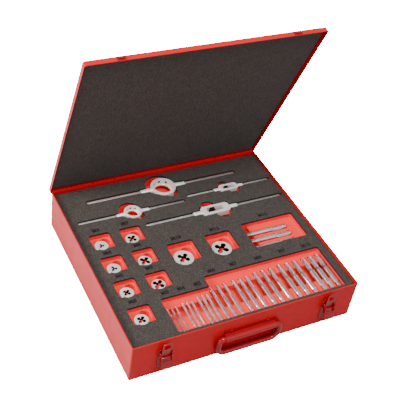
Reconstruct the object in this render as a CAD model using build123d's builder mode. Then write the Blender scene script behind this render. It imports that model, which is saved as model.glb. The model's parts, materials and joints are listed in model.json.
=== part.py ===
from build123d import *
import os
from math import atan, cos, degrees, radians, sin

os.makedirs("parts", exist_ok=True)

# Steel tap and die case with its lid open, in millimetres.
# X runs across the case, Y from the front (handle side, minus) to the hinge (plus), Z up.
# The origin is the centre of the underside.

# ------------------------------------------------------------------ case and lid
case_width = 445.0
case_depth = 401.0
case_height = 83.0
sheet = 1.0
corner_radius = 3.0
bend_radius = 1.4
hem_height = 4.0
hem_gauge = 0.8

lid_gap = 0.4
lid_overlap = 8.7
lid_seat_gap = 0.3
lid_open_angle = 69.5

hinge_wire = 2.0
hinge_knuckle = 3.6
hinge_leaf_gauge = 0.8
hinge_leaf_height = 10.0
hinge_end_gap = 20.0
hinge_knuckles = 27
hinge_knuckle_gap = 0.3
hinge_rivets = 9
hinge_rivet_drop = 6.0
fit_gap = 0.05
soft_gap = 0.3

# ------------------------------------------------------------------ foam inserts
foam_drop = 7.5
foam_side_gap = 0.8
foam_skin = 4.0
foam_insert = 36.0
foam_corner = 3.0
trench_depth = 26.0
scoop_depth = 24.0
pocket_corner = 5.0
lid_foam_gauge = 3.0
lid_foam_margin = 4.0
lid_foam_rear_margin = 8.0

# ------------------------------------------------------------------ dies and their pockets
small_die_d = 25.4
small_die_t = 9.0
small_die_depth = 12.0
large_die_d = 38.1
large_die_t = 12.7
large_die_depth = 15.0
die_seat_gap = 0.5
die_chamfer = 0.6
die_split = 1.0
die_split_angle = 225.0
die_dimple_r = 1.3
die_dimple_angle = 110.0
# the holes for the chips: radius and reach from the axis
chip_share = 0.3
chip_spare = 1.3
chip_reach_share = 0.66
small_pocket = (41.0, 38.5)
large_pocket = (53.0, 50.0)
small_die_shift = (-3.8, -8.8)
large_die_shift = (-7.5, -14.0)
small_scoop_r = 9.5
large_scoop_r = 13.0
small_scoop_shift = (9.0, 7.0)
large_scoop_shift = (11.0, 8.0)
stock_scoop_shift = (-5.0, 6.0)
stock_scoop_spare = 4.0
stock_notch_x = 9.0
stock_notch_share = 0.75
stock_notch_r_share = 0.55
# shares of the wrench body's half width
wrench_scoop_across = 0.9
wrench_scoop_along = 0.99
wrench_scoop_share = 1.3

column_a = -176.0
column_b = -116.0
row_1 = 54.0
row_2 = -6.0
row_3 = -66.5
row_4 = -131.0
large_row = -17.0
large_column_a = -42.5
large_column_b = 36.0

# size: thread diameter, chip holes, pocket centre
small_dies = {
    "m3": (3.0, 3, (column_a, row_1)),
    "m4": (4.0, 3, (column_a, row_2)),
    "m5": (5.0, 4, (column_a, row_3)),
    "m6": (6.0, 4, (column_a, row_4)),
    "m7": (7.0, 4, (column_b, row_1)),
    "m8": (8.0, 4, (column_b, row_2)),
    "m9": (9.0, 4, (column_b, row_3)),
}
large_dies = {
    "m10": (10.0, 4, (large_column_a, large_row)),
    "m12": (12.0, 4, (large_column_b, large_row)),
}

# ------------------------------------------------------------------ taps and their pockets
tap_depth = 12.0
tap_pocket_left = -133.0
tap_pocket_right = 205.5
tap_pocket_front = -188.0
tap_pocket_rear = -86.0
tap_step_x = -38.0
tap_step_rear = -110.0
trench_rear = -113.0
trench_front = -155.0
trench_step_rear = -128.0
trench_step_front = -151.0
tap_front = -180.5
groove_end_gap = 1.5

# size: thread diameter, length, shank diameter, square, flutes, middle tap's x, pitch
front_taps = {
    "m3": (3.0, 56.0, 3.15, 2.5, 3, -117.5, 8.4),
    "m4": (4.0, 59.0, 4.0, 3.15, 3, -86.3, 8.9),
    "m5": (5.0, 63.0, 5.0, 4.0, 3, -54.4, 9.4),
    "m6": (6.0, 75.0, 6.3, 5.0, 4, -17.8, 14.0),
    "m7": (7.0, 76.0, 7.1, 5.6, 4, 29.1, 14.0),
    "m8": (8.0, 81.0, 8.0, 6.3, 4, 78.6, 16.5),
    "m9": (9.0, 83.0, 9.0, 7.1, 4, 131.8, 16.6),
    "m10": (10.0, 84.0, 10.0, 8.0, 4, 184.1, 15.3),
}
m12_tap = (12.0, 89.0, 9.0, 7.1, 4)
m12_left = 94.0
m12_row = -25.5
m12_pitch = 19.0
m12_pocket_left = 90.5
m12_pocket_right = 205.5
m12_pocket_front = -52.0
m12_pocket_rear = 14.5
m12_recess_width = 17.0

thread_share = 0.32
neck_share = 0.1
# flute circles: reach and radius as shares of the thread's diameter, first one's angle
flute_reach = 0.5
flute_share = 0.26
flute_turn = 45.0
# share of the thread that is tapered, ring grooves: taper, second and bottoming tap
tap_kinds = ((0.5, 1), (0.28, 2), (0.12, 0))
ring_groove = 0.8
ring_groove_depth = 0.25

# ------------------------------------------------------------------ die stocks and tap wrenches
tool_below_foam = -1.5
tool_gap = 0.9
ring_gap = 1.4
slot_end_gap = 2.0
stub_length = 12.0
stub_share = 0.7
edge_round = 0.8
# cut corners of the wrench bodies, as a share of the half width
wrench_corner = 0.42
large_stock = {
    "centre": (-6.0, 160.0), "ring_r": 25.0, "bore_r": 19.2, "hole_r": 16.5, "height": 14.0,
    "lip": 3.0, "boss_end": 47.0, "boss_r": 5.5, "arm_r": 4.0, "arm_end": 159.5, "screw_r": 2.5,
}
small_stock = {
    "centre": (-91.5, 110.0), "ring_r": 17.0, "bore_r": 12.9, "hole_r": 11.0, "height": 11.0,
    "lip": 2.5, "boss_end": 33.0, "boss_r": 4.2, "arm_r": 3.2, "arm_end": 108.5, "screw_r": 1.7,
}
screw_angles = (90.0, 48.0, 132.0, 228.0, 312.0)
screw_slot = 0.7
screw_proud = 0.6
large_wrench = {
    "centre": (65.5, 68.8), "half_length": 30.0, "half_width": 11.5, "height": 12.0,
    "window": (36.0, 12.0), "boss_end": 47.0, "boss_r": 5.2, "arm_r": 3.5, "arm_end": 146.0,
    "jaw_length": 9.0, "opening": 7.5, "notch": 3.6, "stem_r": 2.5,
}
small_wrench = {
    "centre": (120.0, 120.3), "half_length": 20.0, "half_width": 8.5, "height": 9.0,
    "window": (25.0, 8.0), "boss_end": 32.0, "boss_r": 4.0, "arm_r": 2.75, "arm_end": 91.0,
    "jaw_length": 6.5, "opening": 5.5, "notch": 2.6, "stem_r": 1.9,
}
jaw_gap = 0.15
jaw_height_gap = 0.5
jaw_wall = 2.5
stem_gap = 0.08
screw_pitch = 1.25
closing_turns = 3
opening_turns = 2
travel_gap = 1.0

# ------------------------------------------------------------------ latches and keepers
latch_x = 162.0
latch_width = 24.0
latch_gauge = 1.2
latch_bottom = 14.0
latch_top = 60.0
lever_rest_angle = 10.0
loop_ratio = 1.5
pivot_out = 7.0
pivot_height = 54.0
pivot_r = 1.5
link_drop = 10.0
link_in = 2.0
link_r = 1.2
lever_gauge = 1.0
lever_half = 10.4
loop_half = 8.8
loop_gauge = 1.5
loop_knuckle_r = 2.4
loop_length = 38.5
loop_window_half = 5.75
loop_window_bottom = 23.0
loop_window_top = 35.0
ear_gauge = 1.0
ear_gap = 0.4
ear_bottom = 49.0
ear_top = 59.0
ear_out = 10.0
stub_head = 0.8
keeper_width = 16.0
keeper_tab = 10.0
keeper_gauge = 0.8
keeper_bottom = 75.2
keeper_top = 82.4
keeper_tab_bottom = 76.8
keeper_tab_gauge = 1.5
keeper_reach = 5.5
keeper_lip_gauge = 1.0
keeper_lip_top = 81.0
keeper_rivet_r = 1.0
rivet_r = 2.2
rivet_shank_r = 1.2
rivet_head = 0.9
rivet_taper = 35.0
rivet_tail = 0.6
latch_rivet_x = 6.0
latch_rivet_heights = (20.0, 50.0)

# ------------------------------------------------------------------ handle
bail_wire_r = 5.0
bail_out = 6.4
bail_height = 46.0
bail_half = 60.0
bail_drop = 36.0
bail_top_bend = 7.0
bail_bottom_bend = 15.0
bracket_half = 50.5
bracket_gauge = 1.3
bracket_flange = 14.5
bracket_play = 0.08
bracket_rivet_x = 36.0
bracket_rivet_z = 10.5

# ------------------------------------------------------------------ places worked out from the sizes
front_y = -case_depth / 2
rear_y = case_depth / 2
foam_z = case_height - foam_drop
skin_z = foam_z - foam_skin
insert_top = skin_z - soft_gap
insert_z = skin_z - foam_insert
tap_z = foam_z - tap_depth
foam_width = case_width - 2 * (sheet + foam_side_gap)
foam_length = case_depth - 2 * (sheet + foam_side_gap)

lid_outer_x = case_width / 2 + lid_gap + sheet
lid_outer_y = case_depth / 2 + lid_gap + sheet
lid_rim_z = case_height - lid_overlap
lid_top_z = case_height + lid_seat_gap + sheet
hinge_y = lid_outer_y + hinge_knuckle / 2
hinge_z = lid_rim_z - hinge_knuckle / 2
hinge_length = case_width - 2 * hinge_end_gap
hinge_span = (-hinge_length / 2, hinge_length / 2)

open_angle = radians(lid_open_angle)
lid_plane = Plane(
    origin=(0, hinge_y, hinge_z), x_dir=(1, 0, 0), z_dir=(0, sin(open_angle), cos(open_angle))
)
closing_travel = screw_pitch * closing_turns
opening_travel = screw_pitch * opening_turns


def write(part, name):
    """Label a finished piece and write its STEP file."""
    part.label = name
    export_step(part, f"parts/{name}.step")


def lid_face(x, y, z, side):
    """A plane on the lid at a place given for the closed lid, facing front (-1) or rear (1)."""
    origin = lid_plane.from_local_coords(Vector(x, y - hinge_y, z - hinge_z))
    return Plane(origin=origin, x_dir=(1, 0, 0), z_dir=side * lid_plane.y_dir)


def wall_face(x, y, z, side):
    """An upright plane facing front (-1) or rear (1)."""
    return Plane(origin=(x, y, z), x_dir=(1, 0, 0), z_dir=(0, side, 0))


def block(x, y, z, mode=Mode.ADD):
    """A box between two limits along each axis, in the builder's frame."""
    with Locations(((x[0] + x[1]) / 2, (y[0] + y[1]) / 2, (z[0] + z[1]) / 2)):
        Box(x[1] - x[0], y[1] - y[0], z[1] - z[0], mode=mode)


def rod(x, y, z, radius, mode=Mode.ADD):
    """A cylinder along X between two limits, in the builder's frame."""
    with Locations(((x[0] + x[1]) / 2, y, z)):
        Cylinder(radius, x[1] - x[0], rotation=(0, 90, 0), mode=mode)


def pillar(centre, z, radius, mode=Mode.ADD):
    """A cylinder along Z between two heights."""
    with Locations((centre[0], centre[1], (z[0] + z[1]) / 2)):
        Cylinder(radius, z[1] - z[0], mode=mode)


def peg(plane, radius, length, mode=Mode.ADD, taper=0.0):
    """A round extrusion from a plane, straight or tapering."""
    with BuildSketch(plane) as outline:
        Circle(radius)
    extrude(outline.sketch, amount=length, taper=taper, mode=mode)


def spoke_plane(centre, z, angle, reach):
    """A plane facing outwards at an angle, reach away from a centre."""
    out = (cos(radians(angle)), sin(radians(angle)))
    return Plane(
        origin=(centre[0] + reach * out[0], centre[1] + reach * out[1], z),
        x_dir=(0, 0, 1), z_dir=(out[0], out[1], 0),
    )


def beside(centre, offset_xy):
    """A point beside a centre."""
    return (centre[0] + offset_xy[0], centre[1] + offset_xy[1])


# ------------------------------------------------------------------ rivet places
bracket_rivets = [
    (x, bail_height + z) for x in (-bracket_rivet_x, bracket_rivet_x)
    for z in (-bracket_rivet_z, bracket_rivet_z)
]
latch_rivets = [
    (side * latch_x + x, z) for side in (-1, 1)
    for x in (-latch_rivet_x, latch_rivet_x) for z in latch_rivet_heights
]
hinge_pitch = hinge_length / hinge_rivets
hinge_rivet_xs = [(i + 0.5) * hinge_pitch - hinge_length / 2 for i in range(hinge_rivets)]
base_rivet_z = hinge_z - hinge_rivet_drop
lid_rivet_z = hinge_z + hinge_rivet_drop
keeper_rivet_x = (keeper_tab + keeper_width) / 4
keeper_rivet_z = (keeper_bottom + keeper_top) / 2
keeper_rivets = [
    (side * latch_x + x, keeper_rivet_z) for side in (-1, 1) for x in (-keeper_rivet_x, keeper_rivet_x)
]
shank_hole_r = rivet_shank_r + fit_gap

# ------------------------------------------------------------------ base shell
with BuildPart() as base_shell:
    with BuildSketch():
        RectangleRounded(case_width, case_depth, corner_radius)
    extrude(amount=case_height)
    fillet(base_shell.faces().sort_by(Axis.Z)[0].edges(), bend_radius)
    with BuildSketch(Plane.XY.offset(sheet)):
        RectangleRounded(case_width - 2 * sheet, case_depth - 2 * sheet, corner_radius - sheet)
    extrude(amount=case_height - sheet, mode=Mode.SUBTRACT)
    with BuildSketch(Plane.XY.offset(case_height - hem_height)):
        RectangleRounded(case_width - sheet, case_depth - sheet, corner_radius - sheet / 2)
        RectangleRounded(
            case_width - 2 * (sheet + hem_gauge),
            case_depth - 2 * (sheet + hem_gauge),
            corner_radius - sheet - hem_gauge,
            mode=Mode.SUBTRACT,
        )
    extrude(amount=hem_height)
    for x, z in latch_rivets + bracket_rivets:
        peg(wall_face(x, front_y + sheet, z, -1), shank_hole_r, sheet, Mode.SUBTRACT)
    for x in hinge_rivet_xs:
        peg(wall_face(x, rear_y - sheet, base_rivet_z, 1), shank_hole_r, sheet, Mode.SUBTRACT)
write(base_shell.part, "base_shell")

# ------------------------------------------------------------------ lid shell, in the hinge's own frame
with BuildPart() as lid_shell:
    with BuildSketch(lid_plane.offset(lid_rim_z - hinge_z)):
        with Locations((0, -hinge_y)):
            RectangleRounded(2 * lid_outer_x, 2 * lid_outer_y, corner_radius + lid_gap + sheet)
    extrude(amount=lid_top_z - lid_rim_z)
    lid_faces = lid_shell.faces().sort_by(Axis(lid_plane.origin, lid_plane.z_dir))
    fillet(lid_faces[-1].edges(), bend_radius)
    with BuildSketch(lid_plane.offset(lid_rim_z - hinge_z)):
        with Locations((0, -hinge_y)):
            RectangleRounded(
                2 * (lid_outer_x - sheet), 2 * (lid_outer_y - sheet), corner_radius + lid_gap
            )
    extrude(amount=lid_top_z - lid_rim_z - sheet, mode=Mode.SUBTRACT)
    for x in hinge_rivet_xs:
        peg(lid_face(x, lid_outer_y - sheet, lid_rivet_z, 1), shank_hole_r, sheet, Mode.SUBTRACT)
    for x, z in keeper_rivets:
        peg(lid_face(x, -lid_outer_y + sheet, z, -1), keeper_rivet_r + fit_gap, sheet, Mode.SUBTRACT)
write(lid_shell.part, "lid_shell")

# ------------------------------------------------------------------ foam liner of the lid
liner_front = -lid_outer_y + sheet + lid_foam_margin
liner_rear = lid_outer_y - sheet - lid_foam_rear_margin
with BuildPart() as lid_foam:
    with BuildSketch(lid_plane.offset(lid_top_z - hinge_z - sheet - soft_gap - lid_foam_gauge)):
        with Locations((0, (liner_front + liner_rear) / 2 - hinge_y)):
            RectangleRounded(
                2 * (lid_outer_x - sheet - lid_foam_margin), liner_rear - liner_front, foam_corner
            )
    extrude(amount=lid_foam_gauge)
write(lid_foam.part, "lid_foam")

# ------------------------------------------------------------------ piano hinge
knuckle_pitch = hinge_length / hinge_knuckles
knuckle_spans = [
    (
        hinge_span[0] + i * knuckle_pitch + hinge_knuckle_gap / 2,
        hinge_span[0] + (i + 1) * knuckle_pitch - hinge_knuckle_gap / 2,
    )
    for i in range(hinge_knuckles)
]
knuckle_r = hinge_knuckle / 2
leaf_bore_r = hinge_wire / 2 + fit_gap

with BuildPart() as hinge_leaf_base:
    block(hinge_span, (rear_y, rear_y + hinge_leaf_gauge), (hinge_z - hinge_leaf_height, hinge_z))
    for span in knuckle_spans[0::2]:
        block(span, (rear_y, hinge_y), (hinge_z - knuckle_r, hinge_z - knuckle_r + hinge_leaf_gauge))
        rod(span, hinge_y, hinge_z, knuckle_r)
    rod(hinge_span, hinge_y, hinge_z, leaf_bore_r, Mode.SUBTRACT)
    for x in hinge_rivet_xs:
        peg(wall_face(x, rear_y, base_rivet_z, 1), shank_hole_r, hinge_leaf_gauge, Mode.SUBTRACT)
write(hinge_leaf_base.part, "hinge_leaf_base")

lid_leaf_y = (-knuckle_r, -knuckle_r + hinge_leaf_gauge)
with BuildPart(lid_plane) as hinge_leaf_lid:
    block(hinge_span, lid_leaf_y, (knuckle_r + hinge_knuckle_gap, lid_top_z - bend_radius - hinge_z))
    for span in knuckle_spans[1::2]:
        block(span, lid_leaf_y, (0, knuckle_r + 2 * hinge_knuckle_gap))
        rod(span, 0, 0, knuckle_r)
    rod(hinge_span, 0, 0, leaf_bore_r, Mode.SUBTRACT)
    for x in hinge_rivet_xs:
        peg(lid_face(x, lid_outer_y, lid_rivet_z, 1), shank_hole_r, hinge_leaf_gauge, Mode.SUBTRACT)
write(hinge_leaf_lid.part, "hinge_leaf_lid")

with BuildPart() as hinge_pin:
    rod(hinge_span, hinge_y, hinge_z, hinge_wire / 2)
write(hinge_pin.part, "hinge_pin")


# ------------------------------------------------------------------ rivets
def rivet(plane, grip):
    """A rivet from the inner face outwards: flat tail, shank through the grip, tapering head."""
    peg(plane.offset(-rivet_tail), 1.5 * rivet_shank_r, rivet_tail)
    peg(plane, rivet_shank_r, grip)
    peg(plane.offset(grip), rivet_r, rivet_head, taper=rivet_taper)


with BuildPart() as hinge_rivets_base:
    for x in hinge_rivet_xs:
        rivet(wall_face(x, rear_y - sheet, base_rivet_z, 1), sheet + hinge_leaf_gauge)
write(hinge_rivets_base.part, "hinge_rivets_base")

with BuildPart() as hinge_rivets_lid:
    for x in hinge_rivet_xs:
        peg(lid_face(x, lid_outer_y - sheet, lid_rivet_z, 1), rivet_shank_r, sheet + hinge_leaf_gauge)
        peg(lid_face(x, lid_outer_y + hinge_leaf_gauge, lid_rivet_z, 1), rivet_r, rivet_head,
            taper=rivet_taper)
write(hinge_rivets_lid.part, "hinge_rivets_lid")

with BuildPart() as front_rivets:
    for x, z in latch_rivets:
        rivet(wall_face(x, front_y + sheet, z, -1), sheet + latch_gauge)
    for x, z in bracket_rivets:
        rivet(wall_face(x, front_y + sheet, z, -1), sheet + bracket_gauge)
write(front_rivets.part, "front_rivets")


# ------------------------------------------------------------------ pocket outlines
def die_outline(centre, size, die_shift, die_d):
    """A rounded rectangle with the die's round seat through its front left corner."""
    with Locations(centre):
        RectangleRounded(size[0], size[1], pocket_corner)
    with Locations(beside(centre, die_shift)):
        Circle(die_d / 2 + die_seat_gap)


def tap_outlines():
    """The long tap pocket with its step, and the pocket of the three largest taps."""
    for left, rear in ((tap_pocket_left, tap_step_rear), (tap_step_x, tap_pocket_rear)):
        with Locations(((left + tap_pocket_right) / 2, (tap_pocket_front + rear) / 2)):
            RectangleRounded(tap_pocket_right - left, rear - tap_pocket_front, pocket_corner)
    middle = ((m12_pocket_left + m12_pocket_right) / 2, (m12_pocket_front + m12_pocket_rear) / 2)
    with Locations(middle):
        RectangleRounded(
            m12_pocket_right - m12_pocket_left, m12_pocket_rear - m12_pocket_front, pocket_corner
        )


def arm_outline(tool, right_gap):
    """The long slot for both arms and the wider slot for the bosses."""
    centre = tool["centre"]
    left = tool["arm_end"] + slot_end_gap
    right = tool["arm_end"] + right_gap
    with Locations((centre[0] + (right - left) / 2, centre[1])):
        SlotOverall(left + right, 2 * (tool["arm_r"] + tool_gap))
    with Locations(centre):
        Rectangle(2 * (tool["boss_end"] + tool_gap), 2 * (tool["boss_r"] + tool_gap))


def stock_outline(tool):
    """A die stock's slot with a round hole for its ring."""
    arm_outline(tool, slot_end_gap)
    with Locations(tool["centre"]):
        Circle(tool["ring_r"] + ring_gap)


def wrench_outline(tool):
    """A tap wrench's slot with a rectangle for its body and room for the screw arm's travel."""
    arm_outline(tool, slot_end_gap + opening_travel)
    with Locations(tool["centre"]):
        RectangleRounded(
            2 * (tool["half_length"] + ring_gap), 2 * (tool["half_width"] + ring_gap), edge_round
        )


def scoop_outlines():
    """The round finger scoops beside the dies, the die stocks and the tap wrenches."""
    for thread_d, chips, centre in small_dies.values():
        with Locations(beside(centre, small_scoop_shift)):
            Circle(small_scoop_r)
    for thread_d, chips, centre in large_dies.values():
        with Locations(beside(centre, large_scoop_shift)):
            Circle(large_scoop_r)
    for tool in (large_stock, small_stock):
        ring_r = tool["ring_r"]
        with Locations(beside(tool["centre"], stock_scoop_shift)):
            Circle(ring_r + stock_scoop_spare)
        with Locations(beside(tool["centre"], (stock_notch_x, -stock_notch_share * ring_r))):
            Circle(stock_notch_r_share * ring_r)
    for tool in (large_wrench, small_wrench):
        across = wrench_scoop_across * tool["half_width"]
        along = wrench_scoop_along * tool["half_width"]
        for side in (-1, 1):
            with Locations(beside(tool["centre"], (-side * along, side * across))):
                Circle(wrench_scoop_share * tool["half_width"])


def liner_outline():
    """The foam's outer edge, a loose fit in the case."""
    RectangleRounded(foam_width, foam_length, foam_corner)


# seams between the foam's blocks: left, right, front, rear
edge_x = foam_width / 2
edge_y = foam_length / 2
foam_blocks = [
    # rear: die stocks and the small wrench
    (-edge_x, -55, 143, edge_y), (-edge_x, -91.5, 84, 110), (-91.5, -55, 84, 110),
    (-edge_x, -91.5, 110, 143), (-91.5, -55, 110, 143), (-55, 60, 100, edge_y),
    (60, edge_x, 143, edge_y), (60, 120, 100, 120.3), (120, edge_x, 100, 120.3),
    (60, 120, 120.3, 143), (120, edge_x, 120.3, 143),
    # middle: small dies, large wrench, large dies, largest taps
    (-edge_x, -146, 25, 84), (-146, -90, 25, 84), (-90, -55, 25, 84), (-55, 20, 25, 100),
    (20, 112, 25, 100), (112, edge_x, 25, 100), (-edge_x, -146, -37, 25), (-146, -83, -37, 25),
    (-edge_x, -146, -99, -37), (-146, -83, -99, -37), (-83, -3, -70, 25), (-3, 77, -70, 25),
    (77, 107.5, -70, 25), (107.5, edge_x, -70, 1), (107.5, edge_x, 1, 25),
    # front: smallest dies, taps
    (-83, -38, -99, -70), (-edge_x, -146, -edge_y, -99), (-146, -38, -edge_y, -99),
    (-38, 95, -edge_y, -70), (95, edge_x, -edge_y, -70),
]


def in_blocks(part, low, high):
    """A foam layer glued up from blocks that meet face to face, each with a pocket or two."""
    pieces = []
    for x0, x1, y0, y1 in foam_blocks:
        block_place = Location(((x0 + x1) / 2, (y0 + y1) / 2, (low + high) / 2))
        pieces += (part & block_place * Box(x1 - x0, y1 - y0, high - low)).solids()
    return Compound(pieces)


# ------------------------------------------------------------------ foam: skin, insert and filler slab
with BuildPart() as foam_top:
    with BuildSketch(Plane.XY.offset(skin_z)):
        liner_outline()
    extrude(amount=foam_skin)
    with BuildSketch(Plane.XY.offset(skin_z)):
        for thread_d, chips, centre in small_dies.values():
            die_outline(centre, small_pocket, small_die_shift, small_die_d)
        for thread_d, chips, centre in large_dies.values():
            die_outline(centre, large_pocket, large_die_shift, large_die_d)
        tap_outlines()
        stock_outline(large_stock)
        stock_outline(small_stock)
        wrench_outline(large_wrench)
        wrench_outline(small_wrench)
        scoop_outlines()
    extrude(amount=foam_skin, mode=Mode.SUBTRACT)
write(in_blocks(foam_top.part, skin_z, foam_z), "foam_top")


def sink(depth):
    """Cut the current sketch from the given depth under the foam's surface up through the insert."""
    extrude(amount=insert_top - foam_z + depth, mode=Mode.SUBTRACT)


with BuildPart() as foam_base:
    with BuildSketch(Plane.XY.offset(insert_z)):
        liner_outline()
    extrude(amount=insert_top - insert_z)
    with BuildSketch(Plane.XY.offset(foam_z - small_die_depth)):
        for thread_d, chips, centre in small_dies.values():
            die_outline(centre, small_pocket, small_die_shift, small_die_d)
    sink(small_die_depth)
    with BuildSketch(Plane.XY.offset(foam_z - large_die_depth)):
        for thread_d, chips, centre in large_dies.values():
            die_outline(centre, large_pocket, large_die_shift, large_die_d)
    sink(large_die_depth)
    with BuildSketch(Plane.XY.offset(tap_z)):
        tap_outlines()
    sink(tap_depth)
    for tool in (large_stock, small_stock):
        tool_depth = tool["height"] + tool_below_foam + soft_gap
        with BuildSketch(Plane.XY.offset(foam_z - tool_depth)):
            stock_outline(tool)
        sink(tool_depth)
    for tool in (large_wrench, small_wrench):
        tool_depth = tool["height"] + tool_below_foam + soft_gap
        with BuildSketch(Plane.XY.offset(foam_z - tool_depth)):
            wrench_outline(tool)
        sink(tool_depth)
    with BuildSketch(Plane.XY.offset(foam_z - scoop_depth)):
        scoop_outlines()
    sink(scoop_depth)
    trench_z = (foam_z - trench_depth, tap_z)
    step_x = (tap_pocket_left, tap_step_x)
    recess_x = (m12_pocket_left, m12_pocket_left + m12_recess_width)
    block((tap_step_x, tap_pocket_right), (trench_front, trench_rear), trench_z, Mode.SUBTRACT)
    block(step_x, (trench_step_front, trench_step_rear), trench_z, Mode.SUBTRACT)
    block(recess_x, (m12_pocket_front, m12_pocket_rear), trench_z, Mode.SUBTRACT)
    for thread_d, length, shank_d, square, flutes, x, pitch in front_taps.values():
        groove_ends = (
            (tap_front - groove_end_gap, (trench_front + trench_rear) / 2, shank_d / 2),
            ((trench_front + trench_rear) / 2, tap_front + length + groove_end_gap, thread_d / 2),
        )
        for i in (-1, 0, 1):
            for y0, y1, r in groove_ends:
                with Locations((x + i * pitch, (y0 + y1) / 2, tap_z)):
                    Cylinder(r + soft_gap, y1 - y0, rotation=(90, 0, 0), mode=Mode.SUBTRACT)
    groove_x = (m12_left - groove_end_gap, m12_left + m12_tap[1] + groove_end_gap)
    for i in (-1, 0, 1):
        rod(groove_x, m12_row + i * m12_pitch, tap_z, m12_tap[0] / 2 + soft_gap, Mode.SUBTRACT)
write(in_blocks(foam_base.part, insert_z, skin_z), "foam_base")

with BuildPart() as foam_filler:
    with BuildSketch(Plane.XY.offset(sheet + soft_gap)):
        liner_outline()
    extrude(amount=insert_z - sheet - 2 * soft_gap)
write(foam_filler.part, "foam_filler")


# ------------------------------------------------------------------ dies
def die(builder, centre, z, die_d, die_t, thread_d, chips):
    """A round split die: chip holes round the thread, a slit to the rim and two screw dimples."""
    radius = die_d / 2
    chip_r = chip_share * thread_d + chip_spare
    reach = thread_d / 2 + chip_reach_share * chip_r
    pillar(centre, (z, z + die_t), radius)
    chamfer(builder.edges().filter_by(GeomType.CIRCLE), die_chamfer)
    pillar(centre, (z, z + die_t), thread_d / 2, Mode.SUBTRACT)
    for i in range(chips):
        angle = radians(die_split_angle + i * 360 / chips)
        chip_centre = beside(centre, (reach * cos(angle), reach * sin(angle)))
        pillar(chip_centre, (z, z + die_t), chip_r, Mode.SUBTRACT)
    out = radians(die_split_angle)
    slit_mid = (reach + radius + 1) / 2
    slit_place = beside(centre, (slit_mid * cos(out), slit_mid * sin(out)))
    with Locations(Location((*slit_place, z + die_t / 2), (0, 0, die_split_angle))):
        Box(radius + 1 - reach, die_split, die_t, mode=Mode.SUBTRACT)
    rim = beside(centre, (radius * cos(out), radius * sin(out)))
    with Locations(Location((*rim, z + die_t / 2), (0, 0, die_split_angle + 45))):
        Box(3 * die_split, 3 * die_split, die_t, mode=Mode.SUBTRACT)
    for side in (-1, 1):
        turn = die_split_angle + side * die_dimple_angle
        dimple = spoke_plane(centre, z + die_t / 2, turn, radius - die_dimple_r)
        peg(dimple, die_dimple_r, die_dimple_r + 1, Mode.SUBTRACT)


for size, (thread_d, chips, centre) in small_dies.items():
    with BuildPart() as small_die:
        die(small_die, beside(centre, small_die_shift), foam_z - small_die_depth + soft_gap,
            small_die_d, small_die_t, thread_d, chips)
    write(small_die.part, f"die_{size}")

for size, (thread_d, chips, centre) in large_dies.items():
    with BuildPart() as large_die:
        die(large_die, beside(centre, large_die_shift), foam_z - large_die_depth + soft_gap,
            large_die_d, large_die_t, thread_d, chips)
    write(large_die.part, f"die_{size}")


# ------------------------------------------------------------------ taps
def tap(foot, along, size, kind):
    """A hand tap from its square end: shank with ring grooves, neck, fluted and tapered thread."""
    thread_d, length, shank_d, square, flutes = size
    tapered, rings = kind
    shank_r = shank_d / 2
    thread_r = thread_d / 2
    neck_r = min(0.8 * thread_r, shank_r - ring_groove_depth)
    bevel = 0.12 * shank_d
    square_length = 1.1 * square + 2.2
    thread_length = thread_share * length
    thread_start = length - thread_length
    shank_end = thread_start - neck_share * length
    points = [(0, 0), (0, shank_r - bevel), (bevel, shank_r)]
    for i in range(rings):
        u = square_length + (2 * i + 2) * ring_groove
        points += [
            (u, shank_r), (u, shank_r - ring_groove_depth),
            (u + ring_groove, shank_r - ring_groove_depth), (u + ring_groove, shank_r),
        ]
    points += [
        (shank_end, shank_r), (shank_end + shank_r - neck_r, neck_r),
        (thread_start - thread_r + neck_r, neck_r), (thread_start, thread_r),
        (length - tapered * thread_length, thread_r), (length, 0.7 * thread_r), (length, 0),
    ]
    axis_dir = Vector(*along)
    side_view = Plane(origin=foot, x_dir=along, z_dir=axis_dir.cross(Vector(0, 0, 1)))
    with BuildSketch(side_view) as profile:
        with BuildLine():
            Polyline(points, close=True)
        make_face()
    revolve(profile.sketch, axis=Axis(foot, along))
    with BuildSketch(Plane(origin=foot, x_dir=(0, 0, 1), z_dir=along)) as corners:
        Circle(shank_d)
        Rectangle(square, square, mode=Mode.SUBTRACT)
    extrude(corners.sketch, amount=square_length, mode=Mode.SUBTRACT)
    flute_start = thread_start - neck_share * length / 2
    flute_foot = Vector(*foot) + axis_dir * flute_start
    with BuildSketch(Plane(origin=flute_foot, x_dir=(0, 0, 1), z_dir=along)) as grooves:
        with PolarLocations(flute_reach * thread_d, flutes, flute_turn):
            Circle(flute_share * thread_d)
    extrude(grooves.sketch, amount=length - flute_start + 1, mode=Mode.SUBTRACT)


for name, (thread_d, length, shank_d, square, flutes, x, pitch) in front_taps.items():
    with BuildPart() as taps:
        for i, kind in zip((-1, 0, 1), tap_kinds):
            tap((x + i * pitch, tap_front, tap_z), (0, 1, 0),
                (thread_d, length, shank_d, square, flutes), kind)
    write(taps.part, f"taps_{name}")

with BuildPart() as taps_m12:
    for i, kind in zip((1, 0, -1), tap_kinds):
        tap((m12_left, m12_row + i * m12_pitch, tap_z), (1, 0, 0), m12_tap, kind)
write(taps_m12.part, "taps_m12")


# ------------------------------------------------------------------ die stocks
def tool_bottom(tool):
    """Height of a tool's underside in its pocket."""
    return foam_z - tool_below_foam - tool["height"]


def side_plane(tool, side, reach, z, facing):
    """A plane across a tool's long axis, facing outwards (1) or inwards (-1)."""
    return Plane(origin=(tool["centre"][0] + side * reach, tool["centre"][1], z),
                 z_dir=(side * facing, 0, 0))


def boss(tool, start, side, z):
    """A tapering round boss between a tool's body and one arm."""
    length = tool["boss_end"] - start
    root_r = tool["height"] / 2 - edge_round / 2
    taper = degrees(atan((root_r - tool["boss_r"]) / length))
    peg(side_plane(tool, side, start, z, 1), root_r, length, taper=taper)


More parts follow.
